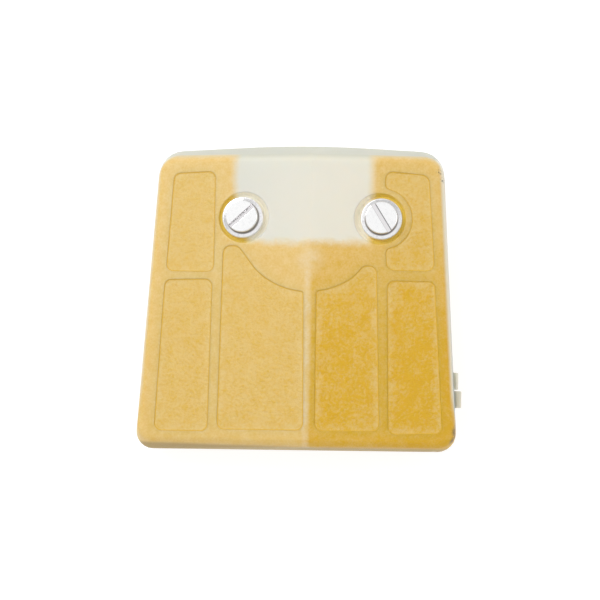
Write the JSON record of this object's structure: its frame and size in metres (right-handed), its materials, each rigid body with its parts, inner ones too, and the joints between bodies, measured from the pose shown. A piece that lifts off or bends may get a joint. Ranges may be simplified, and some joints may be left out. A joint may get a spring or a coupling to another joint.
{
  "type": "air filter housing",
  "caption": "Flat two-piece air filter with flocked mesh panels in nylon half shells, an intake port underneath and captive slotted nuts for the carburettor's studs.",
  "frame": {"origin": "centre of the intake port on its sealing face, midway between the two stud axes", "axes": "+X across the housing from the left stud to the right one, +Y from the chamber towards the port end, +Z away from the engine, out of the roof"},
  "size_m": [0.1032, 0.0978, 0.0272],
  "materials": {
    "shell_nylon": "natural translucent nylon, flocked amber on its outside",
    "flocked_mesh": "short amber flock on a fine nylon mesh",
    "nut_steel": "bright zinc, turned",
    "ring_steel": "dark spring steel",
    "sleeve_steel": "zinc plated tube",
    "seal_rubber": "black nitrile"
  },
  "bodies": {
    "lower_shell": {"lower_frame": "shell_nylon", "lower_panel_port_left": "flocked_mesh", "lower_panel_port_right": "flocked_mesh", "lower_panel_outer_left": "flocked_mesh", "lower_panel_inner_left": "flocked_mesh", "lower_panel_inner_right": "flocked_mesh", "lower_panel_outer_right": "flocked_mesh", "left_stud_sleeve": "sleeve_steel", "right_stud_sleeve": "sleeve_steel", "port_seal": "seal_rubber"},
    "upper_shell": {"upper_frame": "shell_nylon", "upper_panel_port_left": "flocked_mesh", "upper_panel_port_right": "flocked_mesh", "upper_panel_outer_left": "flocked_mesh", "upper_panel_inner_left": "flocked_mesh", "upper_panel_inner_right": "flocked_mesh", "upper_panel_outer_right": "flocked_mesh"},
    "left_nut_carrier": {"left_retaining_ring": "ring_steel"},
    "left_nut_body": {"left_nut": "nut_steel"},
    "right_nut_carrier": {"right_retaining_ring": "ring_steel"},
    "right_nut_body": {"right_nut": "nut_steel"}
  },
  "joints": [
    {"name": "upper_shell_lift", "type": "slide", "parent": "lower_shell", "child": "upper_shell", "axis": [0, 0, 1], "range_m": [0, 0.04]},
    {"name": "left_nut_lift", "type": "slide", "parent": "upper_shell", "child": "left_nut_carrier", "axis": [0, 0, 1], "range_m": [0, 0.004]},
    {"name": "left_nut_turn", "type": "hinge", "parent": "left_nut_carrier", "child": "left_nut_body", "pos_m": [-0.0217, 0, 0.022], "axis": [0, 0, 1], "continuous": true},
    {"name": "right_nut_lift", "type": "slide", "parent": "upper_shell", "child": "right_nut_carrier", "axis": [0, 0, 1], "range_m": [0, 0.004]},
    {"name": "right_nut_turn", "type": "hinge", "parent": "right_nut_carrier", "child": "right_nut_body", "pos_m": [0.0217, 0, 0.022], "axis": [0, 0, 1], "continuous": true}
  ]
}
